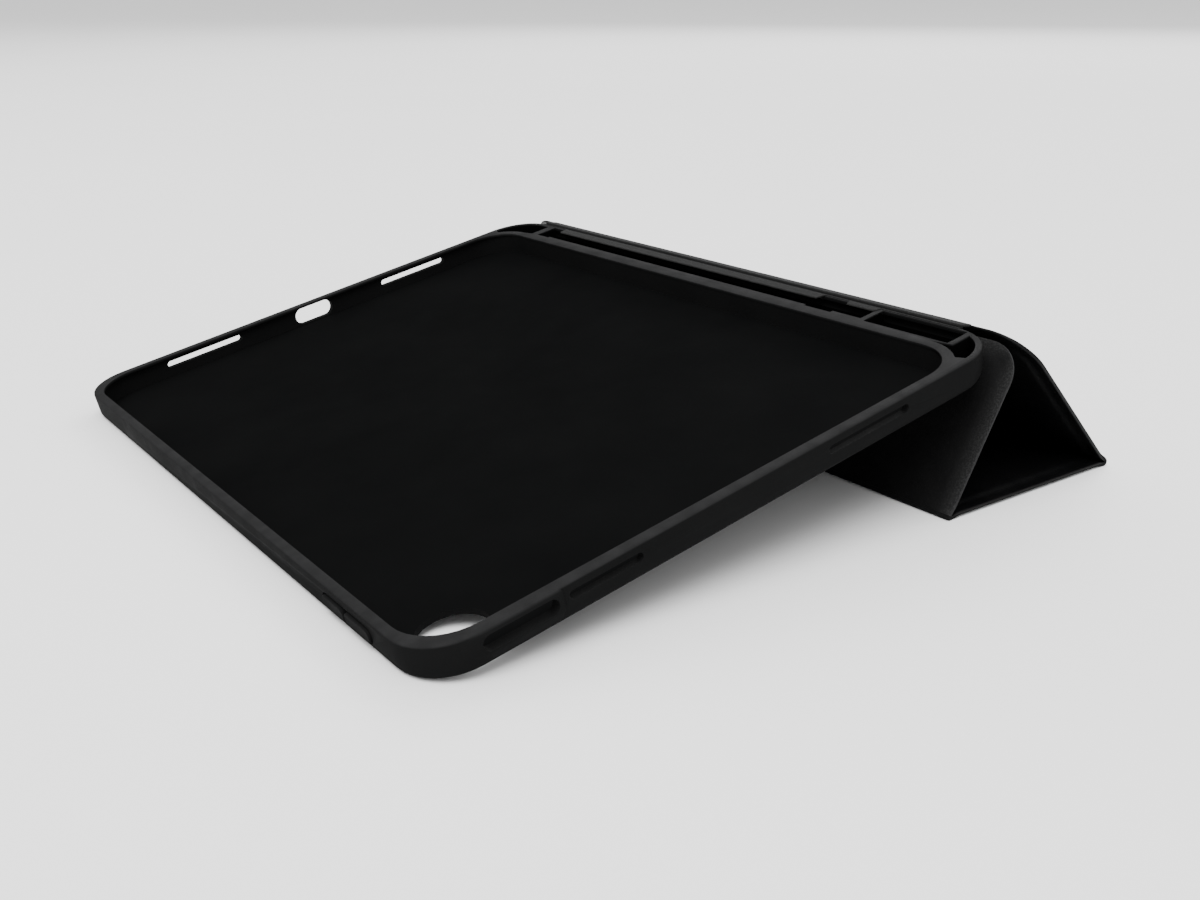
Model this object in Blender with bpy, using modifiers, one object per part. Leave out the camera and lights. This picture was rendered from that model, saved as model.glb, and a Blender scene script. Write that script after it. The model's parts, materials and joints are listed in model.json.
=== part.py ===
"""Folio case for a 10.9-inch tablet, standing in its low typing position.

The case is a moulded soft tray with a pencil trough along its rear edge, and a
cover of three stiffened panels that folds behind the tray into a triangular
stand.  Everything is placed from two frames:

  tray frame    X along the tray, Y from the front edge to the trough, Z out of
                the tablet's glass, with its origin at the glass's centre
  panel frames  X along the fold line, Y away from the fold the panel hangs on,
                Z towards the napped lining (the outside of the stand)

Units are metres; MM turns the millimetres of the dimension list into metres.
"""

import math

import bmesh
import bpy
from mathutils import Matrix, Vector

MM = 0.001
GAP = 0.3 * MM                        # clearance kept between neighbouring pieces

# ---------------------------------------------------------------- the tablet
TABLET_LENGTH = 248.6 * MM
TABLET_WIDTH = 179.5 * MM
TABLET_THICKNESS = 7.0 * MM
TABLET_CORNER = 16.0 * MM
BAY_CLEARANCE = 0.3 * MM              # round the tablet, on each side

# ------------------------------------------------------------- the soft tray
TRAY_HALF_LENGTH = 126.8 * MM
TRAY_FRONT = -91.6 * MM
TRAY_BOTTOM = -8.57 * MM
RIM_TOP = 1.0 * MM                    # how far the rim stands over the glass
RIM_ROUNDING = 0.7 * MM
BASE_ROUNDING = 2.2 * MM
FRONT_CORNER = 15.0 * MM
REAR_CORNER = 16.8 * MM
BAY_FLOOR = -(TABLET_THICKNESS + 0.1 * MM)
LIP_UNDERSIDE = 0.1 * MM              # the lip starts just over the glass
LIP_REACH = 1.3 * MM                  # how far it reaches over the bay, but not beside the trough
CORNER_STEPS = 9                      # facets in each quarter of an outline

# ---------------------------------------------------------- the pencil trough
TROUGH_Y = 98.7 * MM                  # centre of its half-round section
TROUGH_RADIUS = 5.8 * MM              # outside
CHANNEL_RADIUS = 4.6 * MM             # inside, for an 8.9 mm pencil
TROUGH_Z = TRAY_BOTTOM + TROUGH_RADIUS
TRAY_REAR = TROUGH_Y + TROUGH_RADIUS
TROUGH_LIP_UNDERSIDE = -0.2 * MM
PENCIL_BAY = (-101.0 * MM, 79.0 * MM)  # between the two end ribs
SPARE_BAY = (81.0 * MM, 113.9 * MM)
NEAR_POCKET_START = 115.8 * MM
FAR_POCKET_START = -104.7 * MM
POCKET_FLOOR = -5.8 * MM
POCKET_WALL = 2.0 * MM
BAY_CORNER_WALL = 3.0 * MM            # left between a rear pocket and the bay
POCKET_ARC_START = math.radians(4)
POCKET_ARC_END = math.radians(46)
POCKET_STEPS = 6
POCKET_SHOULDER = 0.6 * MM            # where the pocket's inner arc leaves the channel's line
ABOVE = 1.0 * MM                      # how far a cut carries on over the rim
# Openings through the trough's lips: (start, end, nearest Y, furthest Y).
LEDGE = 0.1 * MM                      # left round the mouth where it is full width
WIDE_MOUTH = (TROUGH_Y - CHANNEL_RADIUS + LEDGE, TROUGH_Y + CHANNEL_RADIUS - LEDGE)
LIP_MOUTHS = (
    (PENCIL_BAY[0] + LEDGE, -93.0 * MM, *WIDE_MOUTH),
    (-93.3 * MM, 55.6 * MM, 95.0 * MM, 99.7 * MM),
    (55.3 * MM, 67.0 * MM, *WIDE_MOUTH),
    (66.7 * MM, PENCIL_BAY[1] - LEDGE, 95.3 * MM, 100.8 * MM),
    (SPARE_BAY[0] + LEDGE, SPARE_BAY[1] - LEDGE, *WIDE_MOUTH),
)

# --------------------------------------------------- openings in the side walls
TABLET_MID_Z = -TABLET_THICKNESS / 2
BUTTON_SLOT = (-76.6 * MM, -55.8 * MM)
BUTTON_SLOT_HEIGHT = 4.4 * MM
BUTTON_PAD_END = -53.6 * MM
BUTTON_PAD_RISE = 1.0 * MM
BUTTON_PAD_CENTER_Y = -74.0 * MM      # of the curve that melts into the front corner
BUTTON_PAD_CORNER = 1.7 * MM
BUTTON_Z = -2.4 * MM
NEAR_SPEAKERS = ((-52.4 * MM, -30.5 * MM), (32.0 * MM, 62.5 * MM))
FAR_SPEAKERS = ((-61.0 * MM, -31.0 * MM), (31.0 * MM, 61.0 * MM))
SPEAKER_HEIGHT = 2.5 * MM
SPEAKER_Z = -2.6 * MM
PORT_SLOT = (-8.0 * MM, 8.0 * MM)
PORT_HEIGHT = 6.4 * MM
CAMERA_CENTRE = (110.0 * MM, -75.5 * MM)
CAMERA_RADIUS = 9.5 * MM
CAMERA_RING_RADIUS = 12.3 * MM
CAMERA_RING_RISE = 0.3 * MM
CAMERA_SIDES = 36

# ------------------------------------------------------------ the volume keys
KEY_SLOT = (75.3 * MM, 101.7 * MM)
KEY_SLOT_HEIGHT = 4.8 * MM
KEY_Z = -4.0 * MM
KEY_HEIGHT = 4.0 * MM
KEY_PROUD = 0.6 * MM
KEY_DEPTH = 1.7 * MM
KEY_SLOT_DEPTH = (-2.0 * MM, 4.0 * MM)  # from the front wall's face, outwards and inwards
KEY_EDGE = 0.35 * MM
KEY_SPANS = {
    "volume_down_key": (75.7 * MM, 87.5 * MM),
    "volume_up_key": (88.0 * MM, 101.3 * MM),
}

# ------------------------------------------------------------- the cover
COVER_HALF_WIDTH = 129.5 * MM
CREST_CORNER = 14.0 * MM
FREE_CORNER = 11.0 * MM
LINING = 0.6 * MM
BOARD = 0.8 * MM
HIDE = 0.6 * MM                       # the coated outer skin over a board
PANEL_THICKNESS = LINING + GAP + BOARD + GAP + HIDE
HALF = PANEL_THICKNESS / 2
BORDER = 4.6 * MM                     # pressed edge outside each board
FOLD_BORDER = 1.0 * MM                # the same beside a fold
STRIP_LENGTH = 4.5 * MM
STRIP_THICKNESS = 0.9 * MM
STRIP_HALF_WIDTH = 110.0 * MM
BACK_PANEL = 68.6 * MM
BOTTOM_PANEL = 75.0 * MM
FRONT_PANEL = 52.6 * MM
HEM = 8.0 * MM                        # free edge beyond the last board
HEM_LOW = -1.1 * MM                   # the hem has no board in it, so it is thinner
HEM_HIGH = 0.6 * MM
SPINE_REACH = 3.2 * MM                # depth of the strip glued to the trough's rear
# Radius of the rolled cloth along each fold, and where the full panel starts from it.
ROLL = {"crest_hinge": 0.45 * MM, "crest": 0.7 * MM, "back": 1.2 * MM, "front": 1.2 * MM}
FOLD_SETBACK = {"crest": 1.7 * MM, "back": 3.2 * MM, "front": 2.5 * MM}

# --------------------------------------------------------- magnets and plates
MAGNET_SIZE = (18.0 * MM, 5.0 * MM, 0.8 * MM)
MAGNET_PLACES = (-96.0 * MM, -34.0 * MM, 34.0 * MM, 96.0 * MM)
SLEEP_MAGNET_SIZE = (10.0 * MM, 5.0 * MM, 0.8 * MM)
SLEEP_MAGNET_PLACE = -70.0 * MM
PLATE_SIZE = (40.0 * MM, 8.0 * MM, 0.8 * MM)
PLATE_PLACES = (-65.0 * MM, 65.0 * MM)
FROM_BOARD_EDGE = 3.0 * MM

# ------------------------------------------------------------ the stand's pose
TRAY_TILT = math.radians(12.03)
STRIP_ANGLE = math.radians(-20.0)     # in the tray frame
SPINE_OFFSET = TROUGH_RADIUS + GAP + STRIP_THICKNESS / 2
CREST_AXIS = (TROUGH_Y + SPINE_OFFSET, RIM_TOP + 0.25 * MM)
SPINE_TOP = CREST_AXIS[1] - ROLL["crest_hinge"] - GAP
FRONT_PANEL_ANGLE = math.radians(48.0)    # where it leans on the trough, in the tray frame
ROW_ORIGIN_Y = 33.68 * MM             # the footprint's middle, in tray terms


def clear_scene():
    for thing in list(bpy.data.objects):
        bpy.data.objects.remove(thing, do_unlink=True)


def make_collection(name):
    collection = bpy.data.collections.new(name)
    bpy.context.scene.collection.children.link(collection)
    return collection


def make_material(name, color, roughness, metallic=0.0):
    material = bpy.data.materials.new(name)
    material.use_nodes = True
    shader = material.node_tree.nodes["Principled BSDF"]
    shader.inputs["Base Color"].default_value = (*color, 1.0)
    shader.inputs["Roughness"].default_value = roughness
    shader.inputs["Metallic"].default_value = metallic
    return material


# ------------------------------------------------------------------ outlines
def arc(center, radius, start, end, steps=CORNER_STEPS):
    """Points along a circle from one angle to another, both ends included."""
    points = []
    for i in range(steps + 1):
        angle = start + (end - start) * i / steps
        points.append((center[0] + radius * math.cos(angle), center[1] + radius * math.sin(angle)))
    return points


def rounded_rectangle(low, high, low_radius, high_radius=None):
    """Outline between two corners; the two radii serve the low-Y and high-Y corners."""
    if high_radius is None:
        high_radius = low_radius
    (x0, y0), (x1, y1) = low, high
    quarter = math.pi / 2
    points = arc((x1 - low_radius, y0 + low_radius), low_radius, -quarter, 0)
    points += arc((x1 - high_radius, y1 - high_radius), high_radius, 0, quarter)
    points += arc((x0 + high_radius, y1 - high_radius), high_radius, quarter, 2 * quarter)
    points += arc((x0 + low_radius, y0 + low_radius), low_radius, 2 * quarter, 3 * quarter)
    return points


def panel_outline(half_width, start, end, start_radius, end_radius):
    """A panel's outline, with square corners where a radius is zero."""
    quarter = math.pi / 2
    corners = (
        (half_width, start, start_radius, -quarter),
        (half_width, end, end_radius, 0),
        (-half_width, end, end_radius, quarter),
        (-half_width, start, start_radius, 2 * quarter),
    )
    points = []
    for x, y, radius, angle in corners:
        if radius == 0:
            points.append((x, y))
            continue
        center = (x - math.copysign(radius, x), y + (radius if y == start else -radius))
        points += arc(center, radius, angle, angle + quarter)
    return points


# -------------------------------------------------------------------- solids
def mesh_object(name, bm, collection):
    bmesh.ops.recalc_face_normals(bm, faces=bm.faces)
    mesh = bpy.data.meshes.new(name)
    bm.to_mesh(mesh)
    bm.free()
    thing = bpy.data.objects.new(name, mesh)
    collection.objects.link(thing)
    return thing


def prism(name, outline, z0, z1, collection):
    """A flat outline given a thickness."""
    bm = bmesh.new()
    face = bm.faces.new([bm.verts.new((x, y, z0)) for x, y in outline])
    grown = bmesh.ops.extrude_face_region(bm, geom=[face])
    top = [v for v in grown["geom"] if isinstance(v, bmesh.types.BMVert)]
    bmesh.ops.translate(bm, vec=(0, 0, z1 - z0), verts=top)
    return mesh_object(name, bm, collection)


def box(name, low, high, collection):
    bm = bmesh.new()
    bmesh.ops.create_cube(bm, size=1)
    size = Vector(high) - Vector(low)
    middle = (Vector(high) + Vector(low)) / 2
    bmesh.ops.transform(bm, matrix=Matrix.Translation(middle) @ Matrix.Diagonal((*size, 1)), verts=bm.verts)
    return mesh_object(name, bm, collection)


def rod(name, radius, x0, x1, y, z, collection, sides=32):
    """A round bar along X."""
    bm = bmesh.new()
    bmesh.ops.create_cone(
        bm, cap_ends=True, segments=sides, radius1=radius, radius2=radius, depth=x1 - x0
    )
    turn = Matrix.Rotation(math.pi / 2, 4, "Y")
    place = Matrix.Translation(((x0 + x1) / 2, y, z))
    bmesh.ops.transform(bm, matrix=place @ turn, verts=bm.verts)
    return mesh_object(name, bm, collection)


def loft(name, sections, collection):
    """A closed solid through outlines of equal point counts, each (outline, z)."""
    bm = bmesh.new()
    rings = [[bm.verts.new((x, y, z)) for x, y in outline] for outline, z in sections]
    for lower, upper in zip(rings, rings[1:]):
        for i in range(len(lower)):
            j = (i + 1) % len(lower)
            bm.faces.new((lower[i], lower[j], upper[j], upper[i]))
    bm.faces.new(list(reversed(rings[0])))
    bm.faces.new(rings[-1])
    return mesh_object(name, bm, collection)


def as_cutter(thing):
    thing.hide_render = True
    thing.display_type = "WIRE"
    return thing


def combine(thing, other, operation="DIFFERENCE"):
    """Cut another shape from this one, or join it on."""
    as_cutter(other)
    modifier = thing.modifiers.new(other.name, "BOOLEAN")
    modifier.operation = operation
    modifier.solver = "EXACT"
    modifier.object = other


def place(thing, parent, material):
    thing.parent = parent
    thing.data.materials.append(material)
    return thing


# ------------------------------------------------------------------ the tray
def round_inset(height, radius):
    """How far a rounded bottom edge pulls in, at a height over the base."""
    if height >= radius:
        return 0.0
    return radius - math.sqrt(radius * radius - (radius - height) ** 2)


def tray_outline(side_inset, rear_inset):
    low = (-TRAY_HALF_LENGTH + side_inset, TRAY_FRONT + side_inset)
    high = (TRAY_HALF_LENGTH - side_inset, TRAY_REAR - rear_inset)
    rear_radius = REAR_CORNER - (side_inset + rear_inset) / 2
    return rounded_rectangle(low, high, FRONT_CORNER - side_inset, rear_radius)


def tray_sections():
    """Outlines up the tray's outside: rounded base, straight wall, rounded rim."""
    heights = {TROUGH_RADIUS * (1 - math.cos(math.radians(a))) for a in range(0, 91, 15)}
    heights |= {BASE_ROUNDING * (1 - math.cos(math.radians(a))) for a in (30, 50, 70, 90)}
    sections = []
    for height in sorted(heights):
        outline = tray_outline(round_inset(height, BASE_ROUNDING), round_inset(height, TROUGH_RADIUS))
        sections.append((outline, TRAY_BOTTOM + height))
    for degrees in (0, 30, 60, 90):
        turn = math.radians(degrees)
        inset = RIM_ROUNDING * (1 - math.cos(turn))
        z = RIM_TOP - RIM_ROUNDING + RIM_ROUNDING * math.sin(turn)
        sections.append((tray_outline(inset, inset), z))
    return sections


def wall_slot(name, span, height, z, x0, x1, collection):
    """A round-ended opening through an end wall; it runs along Y."""
    radius = height / 2
    outline = rounded_rectangle((z - radius, span[0]), (z + radius, span[1]), radius * 0.999)
    slot = prism(name, outline, x0, x1, collection)
    # The outline is drawn in (Z, Y) and stood up so that its thickness runs along X.
    slot.data.transform(Matrix(((0, 0, 1, 0), (0, 1, 0, 0), (1, 0, 0, 0), (0, 0, 0, 1))))
    slot.data.flip_normals()
    return slot


def button_pad_outline(inset):
    """The swelling of the end wall round the power button, melting into the front corner."""
    center_x = TRAY_HALF_LENGTH - FRONT_CORNER
    melt = math.radians(-40)
    rise = FRONT_CORNER + BUTTON_PAD_RISE - inset
    outer = arc((center_x, BUTTON_PAD_CENTER_Y), rise, melt, 0)
    end = BUTTON_PAD_END - inset
    rounding = BUTTON_PAD_CORNER - inset
    outer += arc((center_x + rise - rounding, end - rounding), rounding, 0, math.pi / 2, 4)
    inner = arc((center_x, TRAY_FRONT + FRONT_CORNER), FRONT_CORNER - 1.4 * MM, 0, melt)
    return outer + [(inner[0][0], end)] + inner


def button_pad_sections():
    """The swelling is full at the button, and fades into the wall above and below it."""
    low = BUTTON_Z - BUTTON_SLOT_HEIGHT / 2
    sunk = BUTTON_PAD_RISE + 0.3 * MM
    return [
        (button_pad_outline(sunk), low - 3.0 * MM),
        (button_pad_outline(0.8 * MM), low - 1.8 * MM),
        (button_pad_outline(0.3 * MM), low - 0.6 * MM),
        (button_pad_outline(0), low + 0.4 * MM),
        (button_pad_outline(0), RIM_TOP - 1.2 * MM),
        (button_pad_outline(0.4 * MM), RIM_TOP - 0.5 * MM),
        (button_pad_outline(sunk), RIM_TOP - 0.1 * MM),
    ]


def corner_pocket(name, side, collection):
    """The hollow left in a rear corner, outside the tablet's own rounded corner."""
    outer_center = (TRAY_HALF_LENGTH - REAR_CORNER, TRAY_REAR - REAR_CORNER)
    outer_radius = REAR_CORNER - POCKET_WALL
    bay_half = TABLET_LENGTH / 2 + BAY_CLEARANCE
    inner_center = (bay_half - TABLET_CORNER, TABLET_WIDTH / 2 + BAY_CLEARANCE - TABLET_CORNER)
    inner_radius = TABLET_CORNER + BAY_CORNER_WALL
    start_x = NEAR_POCKET_START if side > 0 else -FAR_POCKET_START
    rear_y = TROUGH_Y - CHANNEL_RADIUS
    top_angle = math.pi / 2
    if start_x > outer_center[0]:
        top_angle = math.acos((start_x - outer_center[0]) / outer_radius)
    points = arc(outer_center, outer_radius, POCKET_ARC_START, top_angle)
    if start_x < outer_center[0]:
        points.append((start_x, outer_center[1] + outer_radius))
    points.append((start_x, rear_y))
    first = math.asin(min(1.0, (rear_y - inner_center[1] - POCKET_SHOULDER) / inner_radius))
    points += arc(inner_center, inner_radius, first, POCKET_ARC_END, POCKET_STEPS)
    outline = [(side * x, y) for x, y in points]
    return prism(name, outline, POCKET_FLOOR, RIM_TOP + ABOVE, collection)


def make_tray(collection, cutters, parent, material):
    tray = loft("tray_shell", tray_sections(), collection)

    half_length = TABLET_LENGTH / 2 + BAY_CLEARANCE
    half_width = TABLET_WIDTH / 2 + BAY_CLEARANCE
    bay = rounded_rectangle((-half_length, -half_width), (half_length, half_width), TABLET_CORNER)
    parts = [(prism("cut_bay", bay, BAY_FLOOR, LIP_UNDERSIDE, cutters), "DIFFERENCE")]
    inner_length = half_length - LIP_REACH
    window = rounded_rectangle(
        (-inner_length, -half_width + LIP_REACH), (inner_length, half_width - LEDGE),
        TABLET_CORNER - LIP_REACH,
    )
    parts.append((prism("cut_window", window, BAY_FLOOR / 2, RIM_TOP + ABOVE, cutters), "DIFFERENCE"))

    # The pencil channel and the spare bay: half-round below, straight-sided above.
    for label, (x0, x1) in (("pencil", PENCIL_BAY), ("spare", SPARE_BAY)):
        channel = rod("cut_" + label + "_round", CHANNEL_RADIUS, x0, x1, TROUGH_Y, TROUGH_Z, cutters)
        parts.append((channel, "DIFFERENCE"))
        low = (x0, TROUGH_Y - CHANNEL_RADIUS, TROUGH_Z)
        high = (x1, TROUGH_Y + CHANNEL_RADIUS, TROUGH_LIP_UNDERSIDE)
        parts.append((box("cut_" + label + "_sides", low, high, cutters), "DIFFERENCE"))
    for i, (x0, x1, y0, y1) in enumerate(LIP_MOUTHS):
        low = (x0, y0, TROUGH_Z / 2)
        high = (x1, y1, RIM_TOP + ABOVE)
        parts.append((box("cut_mouth_%d" % i, low, high, cutters), "DIFFERENCE"))
    parts.append((corner_pocket("cut_near_pocket", 1, cutters), "DIFFERENCE"))
    parts.append((corner_pocket("cut_far_pocket", -1, cutters), "DIFFERENCE"))

    # The raised pad round the power button's opening, then the openings themselves.
    parts.append((loft("join_button_pad", button_pad_sections(), cutters), "UNION"))
    outside = TRAY_HALF_LENGTH + 3 * MM
    inside = half_length - 2 * MM
    opening = wall_slot("cut_button", BUTTON_SLOT, BUTTON_SLOT_HEIGHT, BUTTON_Z, inside, outside, cutters)
    parts.append((opening, "DIFFERENCE"))
    for i, span in enumerate(NEAR_SPEAKERS):
        slot = wall_slot("cut_near_speaker_%d" % i, span, SPEAKER_HEIGHT, SPEAKER_Z, inside, outside, cutters)
        parts.append((slot, "DIFFERENCE"))
    for i, span in enumerate(FAR_SPEAKERS):
        slot = wall_slot("cut_far_speaker_%d" % i, span, SPEAKER_HEIGHT, SPEAKER_Z, -outside, -inside, cutters)
        parts.append((slot, "DIFFERENCE"))
    port = wall_slot("cut_port", PORT_SLOT, PORT_HEIGHT, TABLET_MID_Z, -outside, -inside, cutters)
    parts.append((port, "DIFFERENCE"))

    # The opening that both volume keys sit in, through the front wall.
    radius = KEY_SLOT_HEIGHT / 2
    outline = rounded_rectangle(
        (KEY_SLOT[0], KEY_Z - radius), (KEY_SLOT[1], KEY_Z + radius), radius * 0.999
    )
    outwards, inwards = KEY_SLOT_DEPTH
    key_slot = prism("cut_keys", outline, 0, inwards - outwards, cutters)
    key_slot.data.transform(
        Matrix.Translation((0, TRAY_FRONT + inwards, 0)) @ Matrix.Rotation(math.pi / 2, 4, "X")
    )
    parts.append((key_slot, "DIFFERENCE"))

    # The rear camera's window and the ring that guards it.
    full = 2 * math.pi
    ring = arc(CAMERA_CENTRE, CAMERA_RING_RADIUS, 0, full, CAMERA_SIDES)[:-1]
    ring_solid = prism(
        "join_camera_ring", ring, TRAY_BOTTOM - CAMERA_RING_RISE, BAY_FLOOR - 0.4 * MM, cutters
    )
    parts.append((ring_solid, "UNION"))
    camera_hole = arc(CAMERA_CENTRE, CAMERA_RADIUS, 0, full, CAMERA_SIDES)[:-1]
    camera = prism("cut_camera", camera_hole, TRAY_BOTTOM - ABOVE, BAY_FLOOR + ABOVE, cutters)
    parts.append((camera, "DIFFERENCE"))

    for shape, operation in parts:
        shape.parent = parent
        combine(tray, shape, operation)
    place(tray, parent, material)


def make_keys(collection, parent, material):
    for name, (x0, x1) in KEY_SPANS.items():
        radius = KEY_HEIGHT / 2
        center = (x0 + x1) / 2
        half = (x1 - x0) / 2
        outline = rounded_rectangle((-half, -radius), (half, radius), radius * 0.9)
        key = prism(name, outline, 0, KEY_DEPTH, collection)
        key.data.transform(Matrix.Rotation(math.pi / 2, 4, "X"))
        bevel = key.modifiers.new("soft_edge", "BEVEL")
        bevel.width = KEY_EDGE
        bevel.segments = 2
        bevel.limit_method = "ANGLE"
        bevel.angle_limit = math.radians(50)
        # The outline's thickness runs towards -Y, from the key's inner face outwards.
        key.location = (center, TRAY_FRONT - KEY_PROUD + KEY_DEPTH, KEY_Z)
        place(key, parent, material)


def make_spine(collection, parent, material):
    """The strip of cover glued down the rear of the trough, up to the crest."""
    near = TROUGH_Y + TROUGH_RADIUS + GAP
    low = (-STRIP_HALF_WIDTH, near, SPINE_TOP - SPINE_REACH)
    high = (STRIP_HALF_WIDTH, near + STRIP_THICKNESS, SPINE_TOP)
    spine = box("spine_flap", low, high, collection)
    place(spine, parent, material)


# ----------------------------------------------------------------- the cover
def slab(name, size, x, y, z, collection):
    half = Vector(size) / 2
    middle = Vector((x, y, z))
    return box(name, middle - half, middle + half, collection)


def kept_below(outline, limit):
    """The part of an outline on the near side of a straight cut across Y."""
    kept = []
    for (x0, y0), (x1, y1) in zip(outline, outline[1:] + outline[:1]):
        if y0 <= limit:
            kept.append((x0, y0))
        if (y0 <= limit) != (y1 <= limit):
            kept.append((x0 + (x1 - x0) * (limit - y0) / (y1 - y0), limit))
    return kept


def kept_above(outline, limit):
    flipped = [(x, -y) for x, y in outline]
    return [(x, -y) for x, y in kept_below(flipped, -limit)]


class Panel:
    """One stiffened panel: napped lining outside, board, and coated skin inside."""

    def __init__(self, name, start, end, lining_span, corners=(0, 0), full_end=None):
        self.name = name
        self.start = start
        self.end = end
        self.lining_span = lining_span
        self.corners = corners
        self.full_end = full_end
        self.board_start = start + (BORDER if corners[0] else FOLD_BORDER)
        self.board_end = end - (BORDER if corners[1] else FOLD_BORDER)

    def outline(self, start, end):
        """The panel's own outline, cut short of a separate hem if it has one."""
        if self.full_end is None:
            return panel_outline(COVER_HALF_WIDTH, start, end, *self.corners)
        whole = panel_outline(COVER_HALF_WIDTH, start, self.full_end, *self.corners)
        return kept_below(whole, end)

    def inner_outline(self, gap):
        """Outline of the board, or of its pocket, which is wider by the gap."""
        reach = BORDER - gap
        return panel_outline(
            COVER_HALF_WIDTH - reach, self.board_start - gap, self.board_end + gap,
            max(self.corners[0] - reach, 0), 0,
        )

    def build(self, collection, cutters, parent, materials, windows=()):
        lining = prism(
            self.name + "_lining", self.outline(*self.lining_span), HALF - LINING, HALF, collection
        )
        place(lining, parent, materials["lining"])

        skin_top = HALF - LINING - GAP
        skin = prism(self.name + "_skin", self.outline(self.start, self.end), -HALF, skin_top, collection)
        pocket = prism(self.name + "_pocket", self.inner_outline(GAP), -HALF + HIDE, HALF, cutters)
        pocket.parent = parent
        combine(skin, pocket)
        place(skin, parent, materials["skin"])

        low = -HALF + HIDE + GAP
        board = prism(self.name + "_board", self.inner_outline(0), low, low + BOARD, collection)
        for i, (size, x, y) in enumerate(windows):
            wide = (size[0] + 2 * GAP, size[1] + 2 * GAP, 4 * BOARD)
            window = slab("%s_window_%d" % (self.name, i), wide, x, y, low, cutters)
            window.parent = parent
            combine(board, window)
        place(board, parent, materials["board"])

    def inlay(self, name, size, x, y, collection, parent, material):
        """A magnet or steel plate let into a window of the board."""
        z = -HALF + HIDE + GAP + BOARD / 2
        piece = slab(name, size, x, y, z, collection)
        place(piece, parent, material)


def empty(name, parent, location, turn, collection):
    """A marker on a hinge axis, turned about X so that its Y runs along the next panel."""
    marker = bpy.data.objects.new(name, None)
    marker.empty_display_size = 10 * MM
    marker.parent = parent
    marker.location = location
    marker.rotation_euler = (turn, 0, 0)
    collection.objects.link(marker)
    return marker


def stand_angles():
    """Height of the tray frame, and world angles of the strip and the three panels."""
    base_z = BASE_ROUNDING - (
        (TRAY_FRONT + BASE_ROUNDING) * math.sin(TRAY_TILT)
        + (TRAY_BOTTOM + BASE_ROUNDING) * math.cos(TRAY_TILT)
    )
    hinge_z = base_z + CREST_AXIS[0] * math.sin(TRAY_TILT) + CREST_AXIS[1] * math.cos(TRAY_TILT)
    strip = STRIP_ANGLE + TRAY_TILT
    fold_z = hinge_z + STRIP_LENGTH * math.sin(strip)
    back = -math.asin((fold_z - HALF) / BACK_PANEL)
    front = FRONT_PANEL_ANGLE + TRAY_TILT
    return base_z, strip, back, -math.pi, front - 2 * math.pi


def fold_roll(name, fold, half_width, collection, parent, material):
    """The rolled cloth that fills a fold, round its axis."""
    roll = rod(name, ROLL[fold], -half_width, half_width, 0, 0, collection, sides=20)
    place(roll, parent, material)


def make_cover(collection, cutters, axes, materials):
    crest_clear = ROLL["crest"] + GAP
    back_clear = ROLL["back"] + GAP
    front_clear = ROLL["front"] + GAP

    hinge = axes["crest_hinge"]
    start = ROLL["crest_hinge"] + GAP
    end = STRIP_LENGTH - crest_clear
    size = (2 * STRIP_HALF_WIDTH, end - start, STRIP_THICKNESS)
    strip = slab("crest_strip", size, 0, (start + end) / 2, 0, collection)
    place(strip, hinge, materials["lining"])
    fold_roll("crest_hinge_roll", "crest_hinge", STRIP_HALF_WIDTH, collection, hinge, materials["lining"])

    parent = axes["crest_fold"]
    fold_roll("crest_fold_roll", "crest", STRIP_HALF_WIDTH, collection, parent, materials["lining"])
    back = Panel(
        "back_panel", FOLD_SETBACK["crest"], BACK_PANEL - FOLD_SETBACK["back"],
        (crest_clear, BACK_PANEL - back_clear), corners=(CREST_CORNER, 0),
    )
    plate_y = back.board_start + FROM_BOARD_EDGE + PLATE_SIZE[1] / 2
    plates = [(PLATE_SIZE, x, plate_y) for x in PLATE_PLACES]
    back.build(collection, cutters, parent, materials, plates)
    for i, plate in enumerate(plates):
        back.inlay("catch_plate_%d" % (i + 1), *plate, collection, parent, materials["steel"])

    parent = axes["back_fold"]
    fold_roll("back_fold_roll", "back", COVER_HALF_WIDTH, collection, parent, materials["lining"])
    bottom = Panel(
        "bottom_panel", FOLD_SETBACK["back"], BOTTOM_PANEL - FOLD_SETBACK["front"],
        (back_clear, BOTTOM_PANEL - front_clear),
    )
    bottom.build(collection, cutters, parent, materials)

    parent = axes["front_fold"]
    fold_roll("front_fold_roll", "front", COVER_HALF_WIDTH, collection, parent, materials["lining"])
    hem_start = FRONT_PANEL - HEM
    front = Panel(
        "front_panel", FOLD_SETBACK["front"], hem_start - GAP, (front_clear, hem_start - GAP),
        corners=(0, FREE_CORNER), full_end=FRONT_PANEL,
    )
    magnet_y = front.board_end - FROM_BOARD_EDGE - MAGNET_SIZE[1] / 2
    magnets = [(MAGNET_SIZE, x, magnet_y) for x in MAGNET_PLACES]
    sleep = (SLEEP_MAGNET_SIZE, SLEEP_MAGNET_PLACE, magnet_y)
    front.build(collection, cutters, parent, materials, magnets + [sleep])
    for i, magnet in enumerate(magnets):
        front.inlay("closing_magnet_%d" % (i + 1), *magnet, collection, parent, materials["magnet"])
    front.inlay("sleep_magnet", *sleep, collection, parent, materials["magnet"])

    whole = panel_outline(COVER_HALF_WIDTH, front.start, FRONT_PANEL, *front.corners)
    hem = prism("free_edge_hem", kept_above(whole, hem_start), HEM_LOW, HEM_HIGH, collection)
    place(hem, parent, materials["skin"])


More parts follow.
